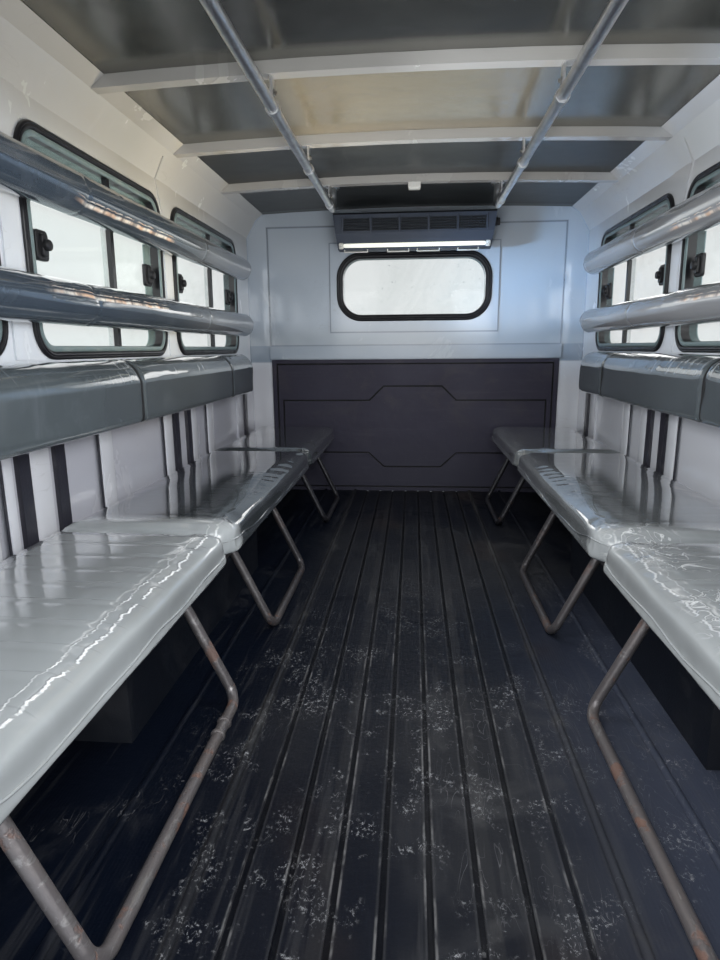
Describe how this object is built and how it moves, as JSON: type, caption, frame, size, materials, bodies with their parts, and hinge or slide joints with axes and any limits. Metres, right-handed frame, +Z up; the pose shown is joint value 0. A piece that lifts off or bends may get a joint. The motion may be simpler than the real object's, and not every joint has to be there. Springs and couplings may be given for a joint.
{
  "type": "passenger load body of a light truck",
  "caption": "Light truck's load body with a windowed canopy, padded bench seats and rails along both sides, roof bows, a drop tailgate and a lift-up rear hatch.",
  "frame": {"origin": "on the ground under the middle of the whole part, tailgate lowered and hatch raised", "axes": "+Y towards the cab, +Z up, +X to the right-hand side seen from behind"},
  "size_m": [1.6, 3.3406, 1.4481],
  "materials": {
    "wall_paint": "gloss light grey-white paint",
    "underframe_paint": "black chassis paint",
    "floor_sheet": "primed steel sheet",
    "mat_rubber": "black ribbed rubber, scuffed and dusty",
    "arch_lining": "black textured coating",
    "bulkhead_black": "black-brown moulded sheet, satin",
    "roof_lining": "dark grey-green board, slight sheen",
    "seal_rubber": "black rubber",
    "window_glass": "clear, slightly teal",
    "latch_plastic": "black",
    "rail_steel": "polished, slightly mottled",
    "unit_plastic": "dark grey",
    "grille_plastic": "black",
    "lamp_plastic": "white lens",
    "seat_vinyl": "grey vinyl under clear film",
    "post_paint": "black paint",
    "bench_paint": "brown-black paint, chipped to rust",
    "tail_lens": "red lens",
    "hinge_steel": "zinc-plated",
    "strut_black": "black tube",
    "strut_rod": "hard chrome"
  },
  "bodies": {
    "body": {"frame_rails": "underframe_paint", "crossmembers": "underframe_paint", "floor_pan": "floor_sheet", "floor_mat": "mat_rubber", "wheel_arches": "arch_lining", "side_panel_left": "wall_paint", "side_panel_right": "wall_paint", "canopy_side_left": "wall_paint", "canopy_side_right": "wall_paint", "front_panel": "wall_paint", "bulkhead_liner": "bulkhead_black", "canopy_front": "wall_paint", "roof_shell": "wall_paint", "roof_lining": "roof_lining", "roof_bows": "wall_paint", "window_frames": "seal_rubber", "window_glass": "window_glass", "window_latches": "latch_plastic", "front_window_seal": "seal_rubber", "front_window_glass": "window_glass", "grab_rails": "rail_steel", "rail_hangers": "rail_steel", "air_unit": "unit_plastic", "air_grilles": "grille_plastic", "cabin_lamp": "lamp_plastic", "upper_rail_left": "seat_vinyl", "upper_rail_right": "seat_vinyl", "middle_rail_left": "seat_vinyl", "middle_rail_right": "seat_vinyl", "backrest_left": "seat_vinyl", "backrest_right": "seat_vinyl", "backrest_posts": "post_paint", "bench_frames_left": "bench_paint", "bench_frames_right": "bench_paint", "rear_frame": "wall_paint", "tail_lamps": "tail_lens", "seat_cushion_left_1": "seat_vinyl", "seat_cushion_left_2": "seat_vinyl", "seat_cushion_left_3": "seat_vinyl", "seat_cushion_right_1": "seat_vinyl", "seat_cushion_right_2": "seat_vinyl", "seat_cushion_right_3": "seat_vinyl"},
    "tailgate": {"tailgate": "wall_paint", "tailgate_fittings": "hinge_steel"},
    "hatch": {"hatch_frame": "wall_paint", "hatch_glass": "window_glass"},
    "strut_tube_left": {"strut_tube_left": "strut_black"},
    "strut_tube_right": {"strut_tube_right": "strut_black"},
    "strut_rod_left": {"strut_rod_left": "strut_rod"},
    "strut_rod_right": {"strut_rod_right": "strut_rod"}
  },
  "joints": [
    {"name": "tailgate_hinge", "type": "hinge", "parent": "body", "child": "tailgate", "pos_m": [0, -0.99766, 0.1], "axis": [-1, 0, 0], "range_deg": [0, 90]},
    {"name": "hatch_hinge", "type": "hinge", "parent": "body", "child": "hatch", "pos_m": [0, -1.00366, 1.429], "axis": [1, 0, 0], "range_deg": [0, 85]},
    {"name": "strut_swing_left", "type": "hinge", "parent": "body", "child": "strut_tube_left", "pos_m": [-0.645, -0.95866, 0.979], "axis": [-1, 0, 0], "range_deg": [0, 20.92]},
    {"name": "strut_slide_left", "type": "slide", "parent": "strut_tube_left", "child": "strut_rod_left", "axis": [0, 0.3731, -0.9278], "range_m": [0, 0.10202]},
    {"name": "strut_swing_right", "type": "hinge", "parent": "body", "child": "strut_tube_right", "pos_m": [0.645, -0.95866, 0.979], "axis": [-1, 0, 0], "range_deg": [0, 20.92]},
    {"name": "strut_slide_right", "type": "slide", "parent": "strut_tube_right", "child": "strut_rod_right", "axis": [0, 0.3731, -0.9278], "range_m": [0, 0.10202]}
  ],
  "couplings": [
    {"joint": "strut_swing_left", "follows": "hatch_hinge", "ratio": 0.24549},
    {"joint": "strut_slide_left", "follows": "hatch_hinge", "m_per_rad": 0.068637},
    {"joint": "strut_swing_right", "follows": "hatch_hinge", "ratio": 0.24549},
    {"joint": "strut_slide_right", "follows": "hatch_hinge", "m_per_rad": 0.068637}
  ]
}
